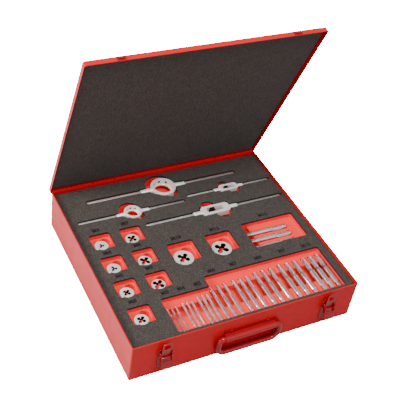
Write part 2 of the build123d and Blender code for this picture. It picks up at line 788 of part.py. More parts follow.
def arm(tool, side, z, start, stub_end, stub_r):
    """A round arm from start outwards, with a thinner stub reaching back into the tool."""
    peg(side_plane(tool, side, start, z, 1), tool["arm_r"], tool["arm_end"] - start)
    peg(side_plane(tool, side, start, z, -1), stub_r, start - stub_end)


for name, tool in (("large", large_stock), ("small", small_stock)):
    centre = tool["centre"]
    bottom = tool_bottom(tool)
    top = bottom + tool["height"]
    mid = bottom + tool["height"] / 2
    screw_z = (bottom + tool["lip"] + top) / 2
    stub_r = stub_share * tool["arm_r"]
    with BuildPart() as stock_ring:
        pillar(centre, (bottom, top), tool["ring_r"])
        fillet(stock_ring.edges().filter_by(GeomType.CIRCLE), edge_round)
        for side in (-1, 1):
            boss(tool, tool["bore_r"] + edge_round, side, mid)
        pillar(centre, (bottom + tool["lip"], top), tool["bore_r"], Mode.SUBTRACT)
        pillar(centre, (bottom, top), tool["hole_r"], Mode.SUBTRACT)
        for side in (-1, 1):
            peg(side_plane(tool, side, tool["boss_end"], mid, -1), stub_r + fit_gap,
                stub_length + fit_gap, Mode.SUBTRACT)
        for angle in screw_angles:
            peg(spoke_plane(centre, screw_z, angle, tool["bore_r"] - 1), tool["screw_r"] + fit_gap,
                tool["ring_r"] - tool["bore_r"] + 2, Mode.SUBTRACT)
    write(stock_ring.part, f"stock_{name}_ring")

    with BuildPart() as stock_arms:
        for side in (-1, 1):
            arm(tool, side, mid, tool["boss_end"] + fit_gap, tool["boss_end"] - stub_length, stub_r)
        for end in (0, -1):
            chamfer(stock_arms.faces().sort_by(Axis.X)[end].edges(), edge_round)
    write(stock_arms.part, f"stock_{name}_arms")

    with BuildPart() as stock_screws:
        near = tool["bore_r"] + 2 * fit_gap
        far = tool["ring_r"] + screw_proud
        for angle in screw_angles:
            peg(spoke_plane(centre, screw_z, angle, near), tool["screw_r"], far - near)
            with BuildSketch(spoke_plane(centre, screw_z, angle, far)):
                Rectangle(3 * tool["screw_r"], screw_slot)
            extrude(amount=-2 * screw_slot, mode=Mode.SUBTRACT)
    write(stock_screws.part, f"stock_{name}_screws")

# ------------------------------------------------------------------ tap wrenches
for name, tool in (("large", large_wrench), ("small", small_wrench)):
    centre = tool["centre"]
    bottom = tool_bottom(tool)
    top = bottom + tool["height"]
    mid = bottom + tool["height"] / 2
    half_length, half_width = tool["half_length"], tool["half_width"]
    window_x = (centre[0] - tool["window"][0] / 2, centre[0] + tool["window"][0] / 2)
    window_y = (centre[1] - tool["window"][1] / 2, centre[1] + tool["window"][1] / 2)
    stub_r = stub_share * tool["arm_r"]
    jaw_x = (window_x[0] + tool["opening"], window_x[0] + tool["opening"] + tool["jaw_length"])
    with BuildPart() as wrench_body:
        block((centre[0] - half_length, centre[0] + half_length),
              (centre[1] - half_width, centre[1] + half_width), (bottom, top))
        chamfer(wrench_body.edges().filter_by(Axis.Z), wrench_corner * half_width)
        chamfer(wrench_body.faces().sort_by(Axis.Z)[-1].edges(), edge_round / 2)
        for side in (-1, 1):
            boss(tool, half_length - edge_round, side, mid)
        block(window_x, window_y, (bottom, top), Mode.SUBTRACT)
        with Locations(Location((window_x[0], centre[1], mid), (0, 0, 45))):
            Box(tool["notch"], tool["notch"], tool["height"], mode=Mode.SUBTRACT)
        peg(side_plane(tool, -1, tool["boss_end"], mid, -1), stub_r + fit_gap,
            stub_length + fit_gap, Mode.SUBTRACT)
        peg(side_plane(tool, 1, tool["boss_end"], mid, -1), tool["stem_r"] + stem_gap,
            tool["boss_end"], Mode.SUBTRACT)
    write(wrench_body.part, f"wrench_{name}_body")

    with BuildPart() as wrench_fixed_arm:
        arm(tool, -1, mid, tool["boss_end"] + fit_gap, tool["boss_end"] - stub_length, stub_r)
        chamfer(wrench_fixed_arm.faces().sort_by(Axis.X)[0].edges(), edge_round)
    write(wrench_fixed_arm.part, f"wrench_{name}_fixed_arm")

    with BuildPart() as wrench_jaw:
        block(jaw_x, (window_y[0] + jaw_gap, window_y[1] - jaw_gap),
              (bottom + jaw_height_gap, top - jaw_height_gap))
        with Locations(Location((jaw_x[0], centre[1], mid), (0, 0, 45))):
            Box(tool["notch"], tool["notch"], tool["height"], mode=Mode.SUBTRACT)
        rod((jaw_x[1] - jaw_wall, jaw_x[1]), centre[1], mid, tool["stem_r"] + stem_gap, Mode.SUBTRACT)
    write(wrench_jaw.part, f"wrench_{name}_jaw")

    with BuildPart() as wrench_screw_arm:
        shoulder = tool["boss_end"] + closing_travel + travel_gap
        stem_end = jaw_x[1] - jaw_wall + stem_gap - centre[0]
        arm(tool, 1, mid, shoulder, stem_end, tool["stem_r"])
        chamfer(wrench_screw_arm.faces().sort_by(Axis.X)[-1].edges(), edge_round)
    write(wrench_screw_arm.part, f"wrench_{name}_screw_arm")

# ------------------------------------------------------------------ latches
lever_turn = radians(lever_rest_angle)
loop_turn = radians(lever_rest_angle * (1 - loop_ratio))
link_back = link_in * cos(lever_turn) - link_drop * sin(lever_turn)
link_fall = link_in * sin(lever_turn) + link_drop * cos(lever_turn)
lever_y = Vector(0, cos(lever_turn), -sin(lever_turn))
loop_y = Vector(0, cos(loop_turn), -sin(loop_turn))
ear_x = (lever_half + ear_gap, lever_half + ear_gap + ear_gauge)
cheek_x = (lever_half - lever_gauge, lever_half)
strip_in = loop_knuckle_r + 0.15
ear_mid = (ear_bottom + ear_top) / 2
ear_end_r = (ear_top - ear_bottom) / 2
# side view of the lever round its pivot: inwards, up
cheek_points = (
    (-3.2, 2.2), (-1.6, 3.6), (1.6, 3.6), (3.0, 2.2), (4.6, -8.0), (4.4, -12.6), (1.0, -18.0),
    (-2.2, -26.0), (-3.2, -26.0),
)
web_points = (
    (-2.2, -14.0), (-2.2, -27.4), (-3.8, -30.0), (-4.6, -29.4), (-3.2, -27.0), (-3.2, -14.0),
)


def mirrored(x0, span):
    """The same X span on both sides of x0."""
    return ((x0 + span[0], x0 + span[1]), (x0 - span[1], x0 - span[0]))


for name, x0 in (("left", -latch_x), ("right", latch_x)):
    pivot = (x0, front_y - pivot_out, pivot_height)
    link = (x0, pivot[1] + link_back, pivot[2] - link_fall)

    with BuildPart() as latch_base:
        with BuildSketch(wall_face(x0, front_y, (latch_bottom + latch_top) / 2, -1)):
            RectangleRounded(latch_width, latch_top - latch_bottom, corner_radius)
        extrude(amount=latch_gauge)
        for span in mirrored(x0, ear_x):
            with BuildSketch(Plane(origin=(span[0], 0, 0), x_dir=(0, 1, 0), z_dir=(1, 0, 0))):
                with Locations((front_y - (ear_out - ear_end_r) / 2, ear_mid)):
                    Rectangle(ear_out - ear_end_r, ear_top - ear_bottom)
                with Locations((front_y - ear_out + ear_end_r, ear_mid)):
                    Circle(ear_end_r)
                with Locations((front_y - pivot_out, pivot_height)):
                    Circle(pivot_r + fit_gap, mode=Mode.SUBTRACT)
            extrude(amount=ear_gauge)
        for x in (-latch_rivet_x, latch_rivet_x):
            for z in latch_rivet_heights:
                peg(wall_face(x0 + x, front_y, z, -1), shank_hole_r, latch_gauge, Mode.SUBTRACT)
    write(latch_base.part, f"latch_{name}_base")

    with BuildPart() as latch_stubs:
        for span in mirrored(x0, (cheek_x[0] - fit_gap, ear_x[1] + stub_head)):
            rod(span, pivot[1], pivot[2], pivot_r)
        for span in mirrored(x0, (ear_x[1] + fit_gap, ear_x[1] + stub_head)):
            rod(span, pivot[1], pivot[2], 1.6 * pivot_r)
    write(latch_stubs.part, f"latch_{name}_stubs")

    with BuildPart() as latch_lever:
        for span in mirrored(x0, cheek_x):
            cheek_foot = (span[0], pivot[1], pivot[2])
            with BuildSketch(Plane(origin=cheek_foot, x_dir=lever_y, z_dir=(1, 0, 0))):
                with BuildLine():
                    Polyline(*cheek_points, close=True)
                make_face()
                Circle(pivot_r + fit_gap, mode=Mode.SUBTRACT)
                with Locations((link_in, -link_drop)):
                    Circle(link_r + fit_gap, mode=Mode.SUBTRACT)
            extrude(amount=lever_gauge)
        web_foot = (x0 - lever_half, pivot[1], pivot[2])
        with BuildSketch(Plane(origin=web_foot, x_dir=lever_y, z_dir=(1, 0, 0))):
            with BuildLine():
                Polyline(*web_points, close=True)
            make_face()
        extrude(amount=2 * lever_half)
    write(latch_lever.part, f"latch_{name}_lever")

    with BuildPart() as latch_pin:
        rod((x0 - lever_half - fit_gap, x0 + lever_half + fit_gap), link[1], link[2], link_r)
    write(latch_pin.part, f"latch_{name}_pin")

    with BuildPart() as latch_loop:
        strip_foot = Vector(*link) + loop_y * strip_in
        with BuildSketch(Plane(origin=strip_foot, x_dir=(1, 0, 0), z_dir=-loop_y)):
            with Locations((0, loop_length / 3)):
                Rectangle(2 * loop_half, 2 * loop_length / 3)
            with Locations((0, 3 * loop_length / 4)):
                RectangleRounded(2 * loop_half, loop_length / 2, loop_half / 2)
            with Locations((0, (loop_window_bottom + loop_window_top) / 2)):
                RectangleRounded(
                    2 * loop_window_half, loop_window_top - loop_window_bottom, edge_round,
                    mode=Mode.SUBTRACT,
                )
        extrude(amount=loop_gauge)
        rod((x0 - loop_half, x0 + loop_half), link[1], link[2], loop_knuckle_r)
        rod((x0 - loop_half, x0 + loop_half), link[1], link[2], link_r + fit_gap, Mode.SUBTRACT)
    write(latch_loop.part, f"latch_{name}_loop")

# ------------------------------------------------------------------ keepers on the lid's front flange
keeper_foot = -lid_outer_y - hinge_y
keeper_face = keeper_foot - keeper_gauge
keeper_out = front_y - keeper_reach - hinge_y
for name, x0 in (("left", -latch_x), ("right", latch_x)):
    with BuildPart(lid_plane) as keeper:
        block((x0 - keeper_width / 2, x0 + keeper_width / 2), (keeper_face, keeper_foot),
              (keeper_bottom - hinge_z, keeper_top - hinge_z))
        tab_x = (x0 - keeper_tab / 2, x0 + keeper_tab / 2)
        block(tab_x, (keeper_out, keeper_foot),
              (keeper_tab_bottom - hinge_z, keeper_tab_bottom + keeper_tab_gauge - hinge_z))
        block(tab_x, (keeper_out, keeper_out + keeper_lip_gauge),
              (keeper_tab_bottom - hinge_z, keeper_lip_top - hinge_z))
        for x in (-keeper_rivet_x, keeper_rivet_x):
            peg(lid_face(x0 + x, -lid_outer_y, keeper_rivet_z, -1), keeper_rivet_r + fit_gap,
                keeper_gauge, Mode.SUBTRACT)
    write(keeper.part, f"keeper_{name}")

with BuildPart() as keeper_pegs:
    for x, z in keeper_rivets:
        peg(lid_face(x, -lid_outer_y + sheet, z, -1), keeper_rivet_r, sheet + keeper_gauge)
write(keeper_pegs.part, "keeper_rivets")

# ------------------------------------------------------------------ handle
roll_inner_r = bail_wire_r + bracket_play
roll_outer_r = roll_inner_r + bracket_gauge
roll_y = front_y - bail_out
with BuildPart() as handle_bracket:
    with BuildSketch(Plane(origin=(-bracket_half, 0, 0), x_dir=(0, 1, 0), z_dir=(1, 0, 0))):
        with Locations((front_y - bracket_gauge / 2, bail_height)):
            Rectangle(bracket_gauge, 2 * bracket_flange)
        with Locations((front_y - bail_out / 2, bail_height)):
            Rectangle(bail_out, 2 * roll_outer_r)
        with Locations((roll_y, bail_height)):
            Circle(roll_outer_r)
        with Locations((front_y - bail_out / 2, bail_height)):
            Rectangle(bail_out, 2 * roll_inner_r, mode=Mode.SUBTRACT)
        with Locations((roll_y, bail_height)):
            Circle(roll_inner_r, mode=Mode.SUBTRACT)
    extrude(amount=2 * bracket_half)
    for x, z in bracket_rivets:
        peg(wall_face(x, front_y, z, -1), shank_hole_r, bracket_gauge, Mode.SUBTRACT)
write(handle_bracket.part, "handle_bracket")

bail_low = bail_height - bail_drop
with BuildPart() as handle_bail:
    with BuildLine(wall_face(0, roll_y, 0, -1)) as bail_path:
        l1 = Line((0, bail_height), (bail_half - bail_top_bend, bail_height))
        l2 = JernArc(l1 @ 1, l1 % 1, bail_top_bend, -90)
        l3 = Line(l2 @ 1, (bail_half, bail_low + bail_bottom_bend))
        l4 = JernArc(l3 @ 1, l3 % 1, bail_bottom_bend, -90)
        l5 = Line(l4 @ 1, (-bail_half + bail_bottom_bend, bail_low))
        l6 = JernArc(l5 @ 1, l5 % 1, bail_bottom_bend, -90)
        l7 = Line(l6 @ 1, (-bail_half, bail_height - bail_top_bend))
        l8 = JernArc(l7 @ 1, l7 % 1, bail_top_bend, -90)
        l9 = Line(l8 @ 1, (0, bail_height))
    with BuildSketch(Plane(origin=(0, roll_y, bail_height), z_dir=(1, 0, 0))):
        Circle(bail_wire_r)
    sweep(path=bail_path.wires()[0])
write(handle_bail.part, "handle_bail")
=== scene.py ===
import json
from math import cos, pi, radians, sin, tau

import bmesh
import bpy
import numpy as np
from bpy.props import FloatProperty, FloatVectorProperty, PointerProperty, StringProperty
from mathutils import Matrix, Vector


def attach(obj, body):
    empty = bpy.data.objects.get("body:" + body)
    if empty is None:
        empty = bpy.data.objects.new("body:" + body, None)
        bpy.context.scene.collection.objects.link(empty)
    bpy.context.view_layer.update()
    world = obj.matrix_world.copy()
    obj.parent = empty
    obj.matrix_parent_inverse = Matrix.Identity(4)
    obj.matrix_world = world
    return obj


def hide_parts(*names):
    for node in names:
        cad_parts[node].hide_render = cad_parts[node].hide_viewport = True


bl_info = {
    "name": "Tap and die case",
    "version": (1, 0, 0),
    "blender": (4, 5, 0),
    "location": "3D View > Sidebar > Tool case",
    "description": "Builds a red sheet-steel case of taps, dies, die stocks and tap wrenches",
    "category": "Object",
}

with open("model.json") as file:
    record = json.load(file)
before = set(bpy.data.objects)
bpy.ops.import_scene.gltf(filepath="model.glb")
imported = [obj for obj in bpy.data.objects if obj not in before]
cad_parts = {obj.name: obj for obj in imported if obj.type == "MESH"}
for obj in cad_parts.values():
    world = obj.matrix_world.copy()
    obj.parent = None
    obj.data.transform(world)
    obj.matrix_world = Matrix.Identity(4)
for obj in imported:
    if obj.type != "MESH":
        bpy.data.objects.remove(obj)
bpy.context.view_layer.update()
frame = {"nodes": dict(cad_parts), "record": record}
NODES = frame["nodes"]
BODIES = frame["record"]["behaviour"]["bodies"]
BODY_OF = {node: body for body, nodes in BODIES.items() for node in nodes}
MM = 0.001

# ---------------------------------------------------------------- sizes shared with the solids, in mm
FOAM_Z = 75.5
TAP_Z = 63.5
TAP_FRONT = -180.5
# size: thread diameter, thread pitch, length, shank diameter, square, flutes, middle x, spacing
FRONT_TAPS = {
    "m3": (3.0, 0.5, 56.0, 3.15, 2.5, 3, -117.5, 8.4),
    "m4": (4.0, 0.7, 59.0, 4.0, 3.15, 3, -86.3, 8.9),
    "m5": (5.0, 0.8, 63.0, 5.0, 4.0, 3, -54.4, 9.4),
    "m6": (6.0, 1.0, 75.0, 6.3, 5.0, 4, -17.8, 14.0),
    "m7": (7.0, 1.0, 76.0, 7.1, 5.6, 4, 29.1, 14.0),
    "m8": (8.0, 1.25, 81.0, 8.0, 6.3, 4, 78.6, 16.5),
    "m9": (9.0, 1.25, 83.0, 9.0, 7.1, 4, 131.8, 16.6),
    "m10": (10.0, 1.5, 84.0, 10.0, 8.0, 4, 184.1, 15.3),
}
M12_TAP = (12.0, 1.75, 89.0, 9.0, 7.1, 4)
M12_LEFT = 94.0
M12_ROW = -25.5
M12_SPACING = 19.0
THREAD_SHARE = 0.32
NECK_SHARE = 0.1
# tapered share of the thread, ring grooves: taper, second and bottoming tap
TAP_KINDS = ((0.5, 1), (0.28, 2), (0.12, 0))
RING_GROOVE = 0.8
RING_GROOVE_DEPTH = 0.25
# flute circles as shares of the thread diameter: distance from the axis, radius
FLUTE_REACH = 0.5
FLUTE_RADIUS = 0.26
# points round a tap, and rows in one turn of its thread
COLUMNS = 48
ROWS_PER_TURN = 6
# a face counts as upright while its normal's z stays under this
UPRIGHT = 0.3
# share of a die's diameter that its holes keep within
DIE_HOLES = 0.46
KNURL_STARTS = 18
KNURL_PITCH = 1.6
# where the paper left of the case starts to glow and where it glows in full, x in metres
GLOW_EDGE = (-0.2, -0.26)

# size marks on the foam: text, centre x, centre y
SIZE_MARKS = (
    ("M3", -177.0, 83.0), ("M4", -178.0, 22.7), ("M5", -178.4, -36.8), ("M6", -179.8, -99.4),
    ("M7", -118.6, 84.5), ("M8", -119.4, 23.9), ("M9", -120.9, -35.6), ("M10", -43.0, 18.7),
    ("M12", 36.3, 18.1), ("M12", 147.2, 25.1), ("M3", -118.7, -99.0), ("M4", -87.8, -99.5),
    ("M5", -55.6, -98.8), ("M6", -17.8, -77.7), ("M7", 28.4, -75.7), ("M8", 80.3, -76.4),
    ("M9", 132.6, -74.6), ("M10", 185.5, -77.0),
)

# knurled or turned arms: node, axis y, axis z
ARMS = {
    "stock_large_arms": (160.0, 70.0), "stock_small_arms": (110.0, 71.5),
    "wrench_large_fixed_arm": (68.8, 71.0), "wrench_large_screw_arm": (68.8, 71.0),
    "wrench_small_fixed_arm": (120.3, 72.5), "wrench_small_screw_arm": (120.3, 72.5),
}


# ---------------------------------------------------------------- settings a user would change
class CaseSettings(bpy.types.PropertyGroup):
    """Colours and sizes of the tool case's finishes."""

    paint: StringProperty(name="Paint", description="Powder coat, sRGB hex", default="#C60A12")
    hardware: StringProperty(
        name="Hardware", description="Latches and handle, sRGB hex", default="#970A15"
    )
    skin: StringProperty(name="Foam skin", description="Grey foam, sRGB hex", default="#37322F")
    insert: StringProperty(name="Foam insert", description="Red foam, sRGB hex", default="#F0302F")
    # the cut walls' colour is a darker, deeper red copy of the insert's red: painted shade on the
    # pocket walls
    insert_cut_shade: StringProperty(
        name="Foam cut", description="Cut walls, sRGB hex", default="#E2051F"
    )
    edge: FloatProperty(
        name="Edge rounding", description="Rounding of the small steel edges", default=0.25 * MM,
        min=0.0, subtype="DISTANCE", unit="LENGTH",
    )
    mark_height: FloatProperty(
        name="Mark size", description="Text size of the size marks", default=11.0 * MM,
        min=1 * MM, subtype="DISTANCE", unit="LENGTH",
    )


class StageSettings(bpy.types.PropertyGroup):
    """Camera and light of the studio."""

    azimuth: FloatProperty(
        name="Azimuth", description="Camera azimuth in degrees", default=-32.6004
    )
    elevation: FloatProperty(
        name="Elevation", description="Camera elevation in degrees", default=40.8185
    )
    roll: FloatProperty(name="Roll", description="Camera roll in degrees", default=10.0509)
    distance: FloatProperty(
        name="Distance", description="Camera distance from its target", default=1.52873,
        subtype="DISTANCE", unit="LENGTH",
    )
    lens: FloatProperty(
        name="Lens", description="Focal length on a 36 mm sensor, in mm", default=77.47
    )
    target: FloatVectorProperty(
        name="Target", description="Point the camera looks at", default=(-0.01744, 0.0, 0.17938),
        subtype="TRANSLATION", unit="LENGTH",
    )
    key_power: FloatProperty(
        name="Key", description="Power of the left key light in watts", default=70.0
    )
    top_power: FloatProperty(
        name="Top", description="Power of the top softbox in watts", default=44.0
    )
    fill_power: FloatProperty(
        name="Fill", description="Power of the front fill light in watts", default=6.0
    )
    sky: FloatProperty(name="Sky", description="Strength of the white surroundings", default=0.55)
    left_glow: FloatProperty(
        name="Left glow", description="Brightness of the paper at the left, seen in reflections",
        default=1.1,
    )
    paper_glow: FloatProperty(
        name="Paper glow", description="How far the camera sees the paper burnt out to white",
        default=30.0,
    )


# ---------------------------------------------------------------- small helpers
def linear(hex_colour):
    """An sRGB hex colour as linear red, green, blue and alpha."""
    srgb = np.array([int(hex_colour[i:i + 2], 16) for i in (1, 3, 5)]) / 255
    low, high = srgb / 12.92, ((srgb + 0.055) / 1.055) ** 2.4
    return (*np.where(srgb <= 0.04045, low, high), 1.0)


def add(tree, kind, inputs=None, **settings):
    """Add a shader node with its settings; an input is a value or another node's output socket."""
    made = tree.nodes.new(kind)
    for key, value in settings.items():
        setattr(made, key, value)
    for key, value in (inputs or {}).items():
        if isinstance(value, bpy.types.NodeSocket):
            tree.links.new(value, made.inputs[key])
        else:
            made.inputs[key].default_value = value
    return made


def maths(tree, operation, first, second):
    """One arithmetic step between two values or output sockets."""
    made = add(tree, "ShaderNodeMath", {0: first, 1: second}, operation=operation)
    return made.outputs["Value"]


def new_material(name):
    """An empty node material with its shader, its output and its object coordinates."""
    material = bpy.data.materials.new(name)
    material.use_nodes = True
    tree = material.node_tree
    tree.nodes.clear()
    shader = add(tree, "ShaderNodeBsdfPrincipled")
    add(tree, "ShaderNodeOutputMaterial", {"Surface": shader.outputs["BSDF"]})
    place = add(tree, "ShaderNodeTexCoord").outputs["Object"]
    return material, tree, shader, place


def set_bump(tree, shader, height, distance, strength=1.0):
    """Join a height to the shader through a bump; the distance is in metres."""
    inputs = {"Height": height, "Distance": distance, "Strength": strength}
    bump = add(tree, "ShaderNodeBump", inputs)
    tree.links.new(bump.outputs["Normal"], shader.inputs["Normal"])


def ramp(tree, fac, stops):
    """A colour ramp from (position, sRGB hex) stops."""
    made = add(tree, "ShaderNodeValToRGB", {"Fac": fac})
    elements = made.color_ramp.elements
    elements[0].position, elements[0].color = stops[0][0], linear(stops[0][1])
    elements[1].position, elements[1].color = stops[-1][0], linear(stops[-1][1])
    for position, colour in stops[1:-1]:
        elements.new(position).color = linear(colour)
    return made.outputs["Color"]


def shade(hex_colour, factor):
    """An sRGB hex colour made lighter or darker by a factor."""
    parts = [min(255, round(int(hex_colour[i:i + 2], 16) * factor)) for i in (1, 3, 5)]
    return "#" + "".join(f"{part:02X}" for part in parts)


def noise(tree, place, size_mm, detail=2.0, rough=0.5):
    """Noise whose features are about size_mm across."""
    inputs = {"Vector": place, "Scale": 1 / (size_mm * MM), "Detail": detail, "Roughness": rough}
    return add(tree, "ShaderNodeTexNoise", inputs).outputs["Fac"]


def mapped(tree, value, low, high, to_low, to_high):
    """A value carried from one range to another."""
    inputs = {
        "Value": value, "From Min": low, "From Max": high, "To Min": to_low, "To Max": to_high,
    }
    return add(tree, "ShaderNodeMapRange", inputs).outputs["Result"]


# ---------------------------------------------------------------- materials
def powder_coat(name, colour, roughness, coat):
    """Powder-coated sheet steel: a thick glossy film with a fine orange-peel wave."""
    material, tree, shader, place = new_material(name)
    cloud = noise(tree, place, 60.0, 3.0)
    stops = ((0.3, shade(colour, 0.985)), (0.7, shade(colour, 1.015)))
    tree.links.new(ramp(tree, cloud, stops), shader.inputs["Base Color"])
    wear = noise(tree, place, 22.0, 4.0, 0.6)
    gloss = mapped(tree, wear, 0.3, 0.7, roughness - 0.04, roughness + 0.06)
    tree.links.new(gloss, shader.inputs["Roughness"])
    shader.inputs["IOR"].default_value = 1.5
    shader.inputs["Specular IOR Level"].default_value = 0.2
    shader.inputs["Coat Weight"].default_value = coat
    shader.inputs["Coat Roughness"].default_value = 0.12
    # orange peel of about 1.6 mm, drawn at that size
    set_bump(tree, shader, noise(tree, place, 1.6, 1.0), 0.03 * MM, 0.5)
    return material


def cell_foam(name, colour, spread, cell_mm, depth_mm):
    """Cross-linked polyethylene foam cut by a die: matt, with open cells of a millimetre or so."""
    material, tree, shader, place = new_material(name)
    fine = noise(tree, place, cell_mm, 2.0, 0.65)
    broad = noise(tree, place, 9 * cell_mm, 3.0)
    mixed = maths(tree, "ADD", fine, mapped(tree, broad, 0.3, 0.7, -0.02, 0.02))
    stops = (
        (0.30, shade(colour, 1 - spread)), (0.50, colour), (0.62, shade(colour, 1 + spread)),
        (0.72, shade(colour, 1 + 2.2 * spread)),
    )
    tree.links.new(ramp(tree, mixed, stops), shader.inputs["Base Color"])
    shader.inputs["Roughness"].default_value = 0.92
    shader.inputs["IOR"].default_value = 1.45
    shader.inputs["Specular IOR Level"].default_value = 0.25
    shader.inputs["Sheen Weight"].default_value = 0.06
    cells = add(tree, "ShaderNodeTexVoronoi", {"Vector": place, "Scale": 1 / (cell_mm * MM)})
    height = maths(tree, "ADD", cells.outputs["Distance"], fine)
    set_bump(tree, shader, height, depth_mm * MM, 0.7)
    return material


def ground_steel(name, colour, roughness, stretch):
    """Ground tool steel: bright, with fine grinding lines that run along the stretched axes."""
    material, tree, shader, place = new_material(name)
    lines = add(tree, "ShaderNodeMapping", {"Vector": place, "Scale": stretch}).outputs["Vector"]
    grain = noise(tree, lines, 0.5, 3.0, 0.7)
    stops = ((0.3, shade(colour, 0.86)), (0.7, shade(colour, 1.08)))
    tree.links.new(ramp(tree, grain, stops), shader.inputs["Base Color"])
    shader.inputs["Metallic"].default_value = 1.0
    gloss = mapped(tree, grain, 0.3, 0.7, roughness - 0.06, roughness + 0.08)
    tree.links.new(gloss, shader.inputs["Roughness"])
    set_bump(tree, shader, grain, 0.01 * MM, 0.5)
    return material


def satin_steel(name, colour, metallic, roughness):
    """Blasted, satin-plated steel: pale and soft, its slight pebble scatters the light."""
    material, tree, shader, place = new_material(name)
    cloud = noise(tree, place, 7.0, 3.0)
    stops = ((0.3, shade(colour, 0.94)), (0.7, shade(colour, 1.04)))
    tree.links.new(ramp(tree, cloud, stops), shader.inputs["Base Color"])
    shader.inputs["Metallic"].default_value = metallic
    gloss = mapped(tree, cloud, 0.3, 0.7, roughness - 0.05, roughness + 0.07)
    tree.links.new(gloss, shader.inputs["Roughness"])
    set_bump(tree, shader, noise(tree, place, 0.9, 2.0), 0.02 * MM, 0.6)
    return material


def knurled_steel(name, colour, axis_y, axis_z, starts, pitch_mm):
    """Diamond-knurled bright steel: two crossing helical grooves round the arm's own axis.

    With the angle a round the axis and x along it, the height is the product of two triangle
    waves of starts * a / turn plus and minus x / pitch.
    """
    material, tree, shader, place = new_material(name)
    centred = add(tree, "ShaderNodeMapping", {
        "Vector": place, "Location": (0.0, -axis_y * MM, -axis_z * MM),
    })
    parts = add(tree, "ShaderNodeSeparateXYZ", {"Vector": centred.outputs["Vector"]})
    angle = maths(tree, "ARCTAN2", parts.outputs["Z"], parts.outputs["Y"])
    around = maths(tree, "MULTIPLY", angle, starts / tau)
    along = maths(tree, "MULTIPLY", parts.outputs["X"], 1 / (pitch_mm * MM))
    waves = [
        maths(tree, "PINGPONG", maths(tree, operation, around, along), 0.5)
        for operation in ("ADD", "SUBTRACT")
    ]
    height = maths(tree, "MULTIPLY", *waves)
    # groove bottoms painted dark and crests a little lighter: painted shade and painted highlight of
    # the knurl
    stops = ((0.0, shade(colour, 0.35)), (0.12, shade(colour, 0.9)), (0.25, shade(colour, 1.1)))
    tree.links.new(ramp(tree, height, stops), shader.inputs["Base Color"])
    shader.inputs["Metallic"].default_value = 0.5
    shader.inputs["Roughness"].default_value = 0.36
    set_bump(tree, shader, height, 1.2 * MM, 0.8)
    return material


def mark_ink(name):
    """Black heat-pressed marks: the skin melted darker and a little glossier."""
    material, tree, shader, place = new_material(name)
    stops = ((0.3, "#020202"), (0.7, "#0A0909"))
    tree.links.new(ramp(tree, noise(tree, place, 0.8), stops), shader.inputs["Base Color"])
    shader.inputs["Roughness"].default_value = 0.6
    set_bump(tree, shader, noise(tree, place, 0.6), 0.05 * MM, 0.4)
    return material


# ---------------------------------------------------------------- meshes
def put_mesh(name, points, faces, material, body, smooth=True):
    """Make an object from an array of points in mm and a list or array of faces."""
    mesh = bpy.data.meshes.new(name)
    mesh.from_pydata(np.asarray(points, float) * MM, [], [list(face) for face in faces])
    mesh.validate()
    mesh.materials.append(material)
    mesh.polygons.foreach_set("use_smooth", np.full(len(mesh.polygons), smooth))
    made = bpy.data.objects.new(name, mesh)
    bpy.context.scene.collection.objects.link(made)
    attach(made, body)
    return made


def dress(node, material, edge):
    """Give a carried-over node its material and round its edges: weld, then a narrow bevel."""
    target = NODES[node]
    target.data.materials.clear()
    target.data.materials.append(material)
    weld = target.modifiers.new("Weld", "WELD")
    weld.merge_threshold = 0.002 * MM
    if edge > 0:
        bevel = target.modifiers.new("Bevel", "BEVEL")
        bevel.width = edge
        bevel.segments = 2
        bevel.limit_method = "ANGLE"
        bevel.angle_limit = radians(38)
        bevel.use_clamp_overlap = False
        bevel.harden_normals = False


def normals_of(mesh):
    """The polygons' normals as an array of rows."""
    normals = np.empty(3 * len(mesh.polygons))
    mesh.polygons.foreach_get("normal", normals)
    return normals.reshape(-1, 3)


def second_material(mesh, material, mask):
    """Give the polygons under a mask the mesh's second material."""
    mesh.materials.append(material)
    mesh.polygons.foreach_set("material_index", mask.astype(np.int32))


def foam_piece(name, node, material, cut):
    """A foam insert from a merged copy of its node; its upright cut walls take a darker copy of the
    foam, as painted shade.
    """
    mesh = NODES[node].data.copy()
    mesh.name = name
    work = bmesh.new()
    work.from_mesh(mesh)
    bmesh.ops.remove_doubles(work, verts=work.verts, dist=0.002 * MM)
    work.to_mesh(mesh)
    work.free()
    mesh.materials.clear()
    mesh.materials.append(material)
    # upright faces take the darker copy: painted shade on the cut walls
    second_material(mesh, cut, np.abs(normals_of(mesh)[:, 2]) < UPRIGHT)
    made = bpy.data.objects.new(name, mesh)
    bpy.context.scene.collection.objects.link(made)
    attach(made, BODY_OF[node])
    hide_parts(node)
    return made


